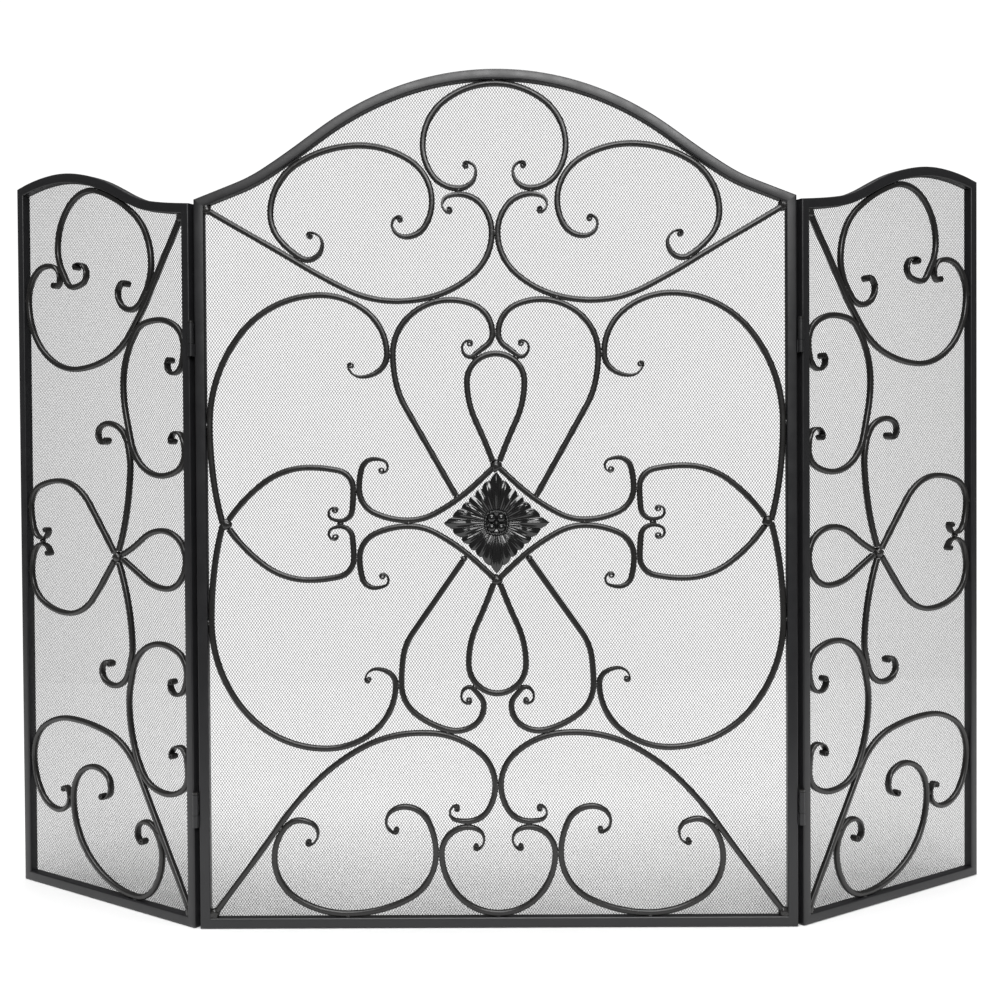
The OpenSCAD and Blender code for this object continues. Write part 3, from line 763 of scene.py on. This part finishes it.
def top_of(edge, x, inset):
    """Height at each x of a line that runs a little inside the outer edge."""
    places, _, _ = trace([(*s, -inset) for s in edge], step=4.0, bend=2.0)
    return np.interp(x, places[:, 0], places[:, 1])


def woven_sheet(low_x, high_x, edge, skew):
    """For both ways of wires: their crossings' places, and which of them are joined and used."""
    rows = np.arange(int(max(s[1] for s in edge) * 2 / PITCH_Z) + 40)
    wires = np.arange(-len(rows) // 2 - 4, int((high_x - low_x) / PITCH_X) + len(rows) // 2 + 4)
    below = 20 * PITCH_Z if skew else 0  # a skewed weave starts lower, to fill its low corner
    ways = []
    for way in (1, -1):
        m, k = np.meshgrid(wires, rows, indexing="ij")
        x = low_x + m * PITCH_X + way * k * PITCH_X / 2
        z = MESH_INSET + k * PITCH_Z / 2 + (x - low_x) * skew - below
        inside = (x > low_x + MESH_INSET) & (x < high_x - MESH_INSET)
        inside &= (z > MESH_INSET) & (z < top_of(edge, x, MESH_INSET))
        joined = inside[:, :-1] & inside[:, 1:]
        used = np.zeros_like(inside)
        used[:, :-1] |= joined
        used[:, 1:] |= joined
        y = SHEET_AT - way * OVER * (1 - 2 * (k % 2))
        ways.append((way, x, y, z, joined, used))
    return ways


def prisms(way, x, y, z, joined, used):
    """Three-sided wires through the used crossings: vertices, faces and each face's x."""
    number = np.cumsum(used.ravel()).reshape(used.shape) - 1
    slope = np.degrees(np.arctan2(PITCH_Z, way * PITCH_X))
    across = unit(slope + 90)
    corners = []
    for a in (90, 210, 330):
        c, s = np.cos(np.radians(a)) * WIRE, np.sin(np.radians(a)) * WIRE
        corners.append(np.stack([x + across[0] * c, y - s, z + across[1] * c], axis=-1)[used])
    spots = np.stack(corners, axis=1).reshape(-1, 3)
    start = number[:, :-1][joined] * 3
    end = number[:, 1:][joined] * 3
    quads = [
        np.stack([start + i, start + (i + 1) % 3, end + (i + 1) % 3, end + i], axis=1)
        for i in range(3)
    ]
    return spots, np.concatenate(quads), np.tile(x[:, :-1][joined], 3)


print("one cell is", round(PITCH_X * PITCH_Z / 2, 2), "square mm")

# %% Make the strips
def sheet_strips(name, node, body, low_x, high_x, edge, skew=0.0):
    """One panel's sheet, in strips. A skew tilts the weave's rows, as a slope."""
    ways = [prisms(*way) for way in woven_sheet(low_x, high_x, edge, skew)]
    shift = len(ways[0][0])
    spots = np.concatenate([ways[0][0], ways[1][0]])
    quads = np.concatenate([ways[0][1], ways[1][1] + shift])
    middle = np.concatenate([ways[0][2], ways[1][2]])
    count = int(np.ceil(len(quads) / (6 * STRIP_CELLS)))
    bands = np.quantile(middle, np.linspace(0, 1, count + 1))
    placing = WINGS.get(body)
    for i in range(count):
        mine = quads[(middle >= bands[i]) & (middle < bands[i + 1] + (i == count - 1))]
        kept, local = np.unique(mine, return_inverse=True)
        local = local.reshape(-1, 4)
        flat = spots[kept]
        world = flat * MM
        if placing is not None:
            world = world @ placing[:3, :3].T + placing[:3, 3]
        if body == "left_panel":
            local = local[:, ::-1]  # a mirrored mesh is inside out
        mesh = bpy.data.meshes.new(f"{name}_{i + 1}")
        mesh.vertices.add(len(world))
        mesh.vertices.foreach_set("co", world.astype(np.float32).ravel())
        mesh.loops.add(local.size)
        mesh.loops.foreach_set("vertex_index", local.ravel().astype(np.int32))
        mesh.polygons.add(len(local))
        mesh.polygons.foreach_set("loop_start", np.arange(0, local.size, 4, dtype=np.int32))
        mesh.update(calc_edges=True)
        mesh.polygons.foreach_set("use_smooth", np.ones(len(local), bool))
        low, high = flat.min(0), flat.max(0)
        uv = ((flat - low) / (high - low))[:, (0, 2)][local.ravel()]
        mesh.uv_layers.new(name="OFBake").data.foreach_set("uv", uv.astype(np.float32).ravel())
        mesh.materials.append(wire_black)
        piece = placed(mesh.name, mesh)
        bpy.context.view_layer.update()
        finished(piece, body, "mesh", node)
    print(f"{name}: {len(quads)} faces in {count} strips")


sheet_strips("centre_wire", "centre_mesh", "centre_panel", -CENTRE_HALF, CENTRE_HALF, arch_edge)
WING_SKEW = np.tan(np.radians(7))
for wing in WINGS:
    side = wing.removesuffix("panel")
    sheet_strips(side + "wire", side + "mesh", wing, 0, WING_W, wing_edge, WING_SKEW)

# %% [markdown]
# ## The rosette
# The rosette is one pressed sheet: a lozenge with a leaf tip at each end and five rounded lobes
# between each pair of tips. Each lobe is a fold that swells as it runs out, with fine flutes on
# it and a rib down each leaf. That is a height over a disc, so rings of points carry it well,
# with a second skin behind for the sheet's thickness. The folds stay low, so that a wing can
# still fold flat over them.

# %% Press the rosette
ROSETTE_BACK = -2.8
SHEET = 0.5
ACROSS, UP = 51.5, 49.5  # from the middle to the tips at the sides and at the top
LOBE = 2.6  # how far a lobe sticks out
LOBES = 5  # between two tips
TIP_HALF = 8.0  # half a tip's angle
FINE_FLUTES = 48
HEM = 0.1  # height of the sheet's edge
HIGH, STILE_LIMIT = 4.9, 2.35  # the folds' height, and what is taken off it under a stile
STILE_AT, STILE_HALF = 20.5, 7.5
HOLE = 4.0  # the sheet starts here, under the cup
CUP = 10.0  # the folds start here


def lobe(a):
    """The angle off the nearest leaf's rib, and the swell of the lobe there from 0 to 1."""
    off = abs(half_turn(4 * a) / 4)
    if off < TIP_HALF:
        return off, np.cos(np.radians(90 * off / TIP_HALF)) ** 0.6
    part = (off - TIP_HALF) / (90 - 2 * TIP_HALF) * LOBES % 1
    return off, np.sin(np.pi * part) ** 0.6


def rosette_reach(a):
    """How far the sheet reaches at an angle, in degrees."""
    c, s = abs(np.cos(np.radians(a))), abs(np.sin(np.radians(a)))
    return 1 / (c / ACROSS + s / UP) - LOBE + LOBE * lobe(a)[1]


def room_for(x):
    """How far forward the sheet may stand: less where a folded wing's stile lies over it."""
    over = np.exp(-(((abs(x) - STILE_AT) / STILE_HALF) ** 4))
    return HIGH - STILE_LIMIT * over


def rosette_height(out, a, x):
    """How far the sheet stands forward, from its middle (0) to its edge (1)."""
    off, swell = lobe(a)
    dish = 0.52 * np.sin(np.pi * out**1.2)
    fold = 0.40 * swell * out**0.8 * (1 - 0.5 * out**5)
    fine = 0.06 * np.cos(np.radians(FINE_FLUTES * a)) * np.sin(np.pi * out) ** 0.6
    rib = 0.07 * np.exp(-((off / 1.3) ** 2)) * np.sin(np.pi * out)
    return HEM + room_for(x) * (dish + fold + fine + rib)


def press_rosette():
    around, out = 720, 36
    front = []
    for part in np.arange(out + 1) / out:
        ring = []
        for a in np.arange(around) * 360 / around:
            reach = rosette_reach(a)
            r = HOLE + (reach - HOLE) * part**0.9
            x, z = r * unit(a)
            high = rosette_height(max(0, (r - CUP) / (reach - CUP)), a, x)
            ring.append((x, ROSETTE_BACK - SHEET - high, MID + z))
        front.append(ring)
    front = np.array(front)
    back = front + np.array((0, SHEET, 0))
    skin = Skin()
    skin.tube(np.concatenate([front, back[::-1]]))
    return skin


FOLDED = 50.0  # a bend sharper than this shows as an edge
make(
    press_rosette(), "rosette_pressing", rosette_black, "centre_panel", "rosette", "rosette_leaf",
    smooth=FOLDED,
)

# %% [markdown]
# In the middle sits a cushion-shaped cup with a beaded rim and four round seeds. Each is turned
# on a lathe in code: a profile of radius and height, spun round, with the cup pulled towards a
# square.

# %% Boss and seeds
BOSS_BACK = ROSETTE_BACK - 0.4
CUSHION = 0.3  # how much of the way to a square the cup is pulled
RIM, SEEDS_AT = 11.0, 6.5  # from the middle to the beads and to the seeds


def lathe(skin, profile, at=0.0, angle=0.0, around=32, square=0.0):
    """Spins a profile of (radius, height forward) about a line at a place on the boss."""
    middle = at * unit(angle)
    angles = np.radians(np.arange(around) * 360 / around)
    wide = 1 + square * (1 / np.maximum(abs(np.cos(angles)), abs(np.sin(angles))) - 1)
    rings = []
    for radius, high in profile:
        x, z = radius * wide * np.cos(angles), radius * wide * np.sin(angles)
        deep = np.full(around, BOSS_BACK - high)
        rings.append(np.stack([middle[0] + x, deep, MID + middle[1] + z], axis=1))
    skin.tube(rings)


def dome(radius, tall, base, points):
    """A profile that goes from a rim at height base to nearly the top."""
    return [(radius * np.cos(t), base + tall * np.sin(t)) for t in np.linspace(0, 1.5, points)]


CUP_PROFILE = [
    (12.0, 0), (12.2, 1.2), (12.0, 2.2), (11.2, 2.8), (10.2, 2.6), (9.4, 1.8), (4.0, 1.4),
    (0.3, 1.4),
]
SEED_PROFILE = [(4.4, 1.2), *dome(4.4, 4.2, 1.6, 12), (0.02, 5.8)]
BEAD_PROFILE = [*dome(1.3, 1.3, 2.3, 5), (0.02, 3.6)]
NUB_PROFILE = [(1.5, 1.4), (1.4, 4.0), (0.9, 4.7), (0.05, 4.9)]

boss = Skin()
lathe(boss, CUP_PROFILE, around=64, square=CUSHION)
for a in range(45, 405, 90):
    lathe(boss, SEED_PROFILE, SEEDS_AT, a)
for a in range(0, 360, 15):
    rim = RIM * (1 + CUSHION * (1 / max(abs(unit(a))) - 1))
    lathe(boss, BEAD_PROFILE, rim, a, around=12)
lathe(boss, NUB_PROFILE, around=16)
make(
    boss, "rosette_cup_and_seeds", rosette_black, "centre_panel", "rosette", "rosette_boss",
    smooth=FOLDED,
)

# %% [markdown]
# ## Welds
# A dab of weld holds each pair of bars where they touch, and a bigger one gathers the ends where
# several meet. Dabs are lumpy, and no two are alike: a fine ball of points, pushed in and out
# by noise that depends on where the dab is.

# %% Dabs of weld
LUMPINESS = 0.34
DAB, DAB_DEPTH = 3.1, 3.4  # its radius, and how far it may stand out to the front and back
LUMP, LUMP_DEPTH = 5.6, 4.5


def ball(rows=9, around=14):
    spots, faces = [(0, 0, 1)], []
    for i in range(1, rows):
        polar = np.pi * i / rows
        for j in range(around):
            a = 2 * np.pi * j / around
            spots.append((np.sin(polar) * np.cos(a), np.sin(polar) * np.sin(a), np.cos(polar)))
    spots.append((0, 0, -1))
    last = len(spots) - 1
    for j in range(around):
        k = (j + 1) % around
        faces += [(0, 1 + j, 1 + k), (last, last - around + k, last - around + j)]
        for i in range(rows - 2):
            b = 1 + i * around
            faces.append((b + j, b + around + j, b + around + k, b + k))
    return np.array(spots), faces


BALL, BALL_FACES = ball()


def dab(skin, x, z, size, deepest):
    """A lumpy ball at a place on the panel, no deeper than deepest from its middle plane."""
    where = np.array((x, 3.0, z)) * 0.37
    push = [1 + LUMPINESS * noise.noise(Vector(tuple(p * 1.4 + where))) for p in BALL]
    spots = BALL * np.array(push)[:, None] * size
    spots[:, 1] = np.clip(spots[:, 1], -deepest, deepest)
    skin.add(spots + np.array((x, 0, z)), BALL_FACES)


def both(places):
    """The places on the left and on the right."""
    return [(m * x, z) for x, z in places for m in (-1, 1)]


CENTRE_DABS = [(0, 826), (0, 678.5), (0, 581), (0, 138.5), (0, TUBE)] + both([
    (35, 718.8), (190.5, 652.8), (60, 614.2), (103, 561), (282.5, 492.5), (19.8, 556.9),
    (136.9, 430), (136.9, 362), (152.5, MID), (86, MID), (282.5, 300), (96.8, 238),
    (21.8, 235.5), (49, 190.6), (30, 100.5), (213.7, 96.9), (58.5, 72), (148, TUBE),
    (38.6, 421.5), (32, 361),
])
CENTRE_LUMPS = [(0, 451.5), (0, 340.5)] + both([(281, 703.5), (279.5, 13), (264.5, MID)])
hang = unit(19 - 90)  # straight down from the sloping rail at the crest
WING_DABS = [
    (crest_at[0] + TUBE * hang[0], crest_at[1] + TUBE * hang[1]), (OUTER, 637), (INNER, 570),
    (INNER, 466), (INNER, 248), (INNER, 148), (OUTER, 412), (OUTER, 342), (243, 374.5),
    (INNER, 360), (OUTER, 138), (93, TUBE), (66.5, 627.5), (207, 664), (87.5, 591.5),
    (96.5, 478), (97.5, 245), (85, 142), (56.6, 83.4), (197.5, 101),
]
WING_LUMPS = [(14, 698), (12, 13.5), (116.5, 361)]


def weld_up(name, body, dabs, lumps, node):
    skin = Skin()
    for x, z in dabs:
        dab(skin, x, z, DAB, DAB_DEPTH)
    for x, z in lumps:
        dab(skin, x, z, LUMP, LUMP_DEPTH)
    make(skin, name, weld_black, body, "welds", node, smooth=60.0)


weld_up("centre_weld_dabs", "centre_panel", CENTRE_DABS, CENTRE_LUMPS, "centre_welds")
for wing in WINGS:
    side = wing.removesuffix("panel")
    weld_up(side + "weld_dabs", wing, WING_DABS, WING_LUMPS, side + "welds")

# %% [markdown]
# ## Hinges
# The hinge barrels, their webs and the pins are turned and cut parts whose engineered shape is
# already right, so they stay as they are and only get the paint.

# %% Paint what stays
for name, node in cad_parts.items():
    if not node.hide_render:
        paint = bar_black if name.endswith("pins") else frame_black
        for paint_slot in node.material_slots:
            paint_slot.material = paint
        if not node.material_slots:
            node.data.materials.append(paint)
        print("painted", name)

# %% [markdown]
# ## Floor and light
# The screen stands on a sheet of pale paper. Black paint shows mostly what it reflects, so there
# are two soft lights: a wide one overhead, the same over the whole floor, that draws the pale
# line along the top edges, and a panel high in front that puts a sheen on the face of the arch.
# Sizes and places in the next two cells are in metres.

# %% Floor
FLOOR_HALF, FLOOR_FRONT, FLOOR_BACK = 2.4, -0.6, 1.5
FLOOR_BELOW = 0.0004  # so that no face of the frame lies in the floor's plane
PALE = 0.80


def floor_sheet():
    mesh = bpy.data.meshes.new("floor")
    front = [(-FLOOR_HALF, FLOOR_FRONT, 0), (FLOOR_HALF, FLOOR_FRONT, 0)]
    back = [(FLOOR_HALF, FLOOR_BACK, 0), (-FLOOR_HALF, FLOOR_BACK, 0)]
    mesh.from_pydata(front + back, [], [(0, 1, 2, 3)])
    made = placed("floor", mesh)
    paper = Paint("pale_floor", {"Roughness": 0.85, "Base Color": (PALE, PALE, PALE, 1.0)})
    mesh.materials.append(paper.material)
    made.location.z = -FLOOR_BELOW
    return made


print("floor:", floor_sheet().name)

# %% Light
def soft_panel(name, where, size, power):
    """A rectangular lamp that faces the middle of the screen."""
    lamp = bpy.data.lights.new(name, "AREA")
    lamp.shape, lamp.size, lamp.size_y = "RECTANGLE", size[0], size[1]
    lamp.energy = power
    made = placed(name, lamp)
    made.location = where
    aim = Vector((0, 0, 0.5)) - Vector(where)
    made.rotation_mode = "QUATERNION"
    made.rotation_quaternion = aim.to_track_quat("-Z", "Y")


def soft_sky(name, power, spread, tilt):
    """Light that comes from a wide disc of sky, the same at every place."""
    lamp = bpy.data.lights.new(name, "SUN")
    lamp.energy, lamp.angle = power, np.radians(spread)
    placed(name, lamp).rotation_euler = (np.radians(tilt), 0, 0)


soft_panel("front_high", where=(0.25, -2.6, 1.9), size=(1.9, 0.7), power=58)
soft_sky("overhead", power=3.7, spread=50, tilt=8)
print("a soft panel and a soft sky")

# %% [markdown]
# The screen stands against white, but a white room would turn black paint grey. So the room is
# white only where it is looked at directly, and dim as a light and in reflections.

# %% Room
DIM = 0.16
BACKDROP = 0.90  # what is added where it is looked at

world = bpy.context.scene.world or bpy.data.worlds.new("room")
bpy.context.scene.world = world
world.use_nodes = True
room = Shade(world.node_tree)
backdrop = room.tree.nodes["Background"]
looked_at = room.node("LightPath")
room.feed(backdrop, {"Color": (1.0, 1.0, 1.0, 1.0), "Strength": DIM + BACKDROP * looked_at})
bpy.context.scene.view_settings.view_transform = "Standard"
print("a dim room with a white backdrop")
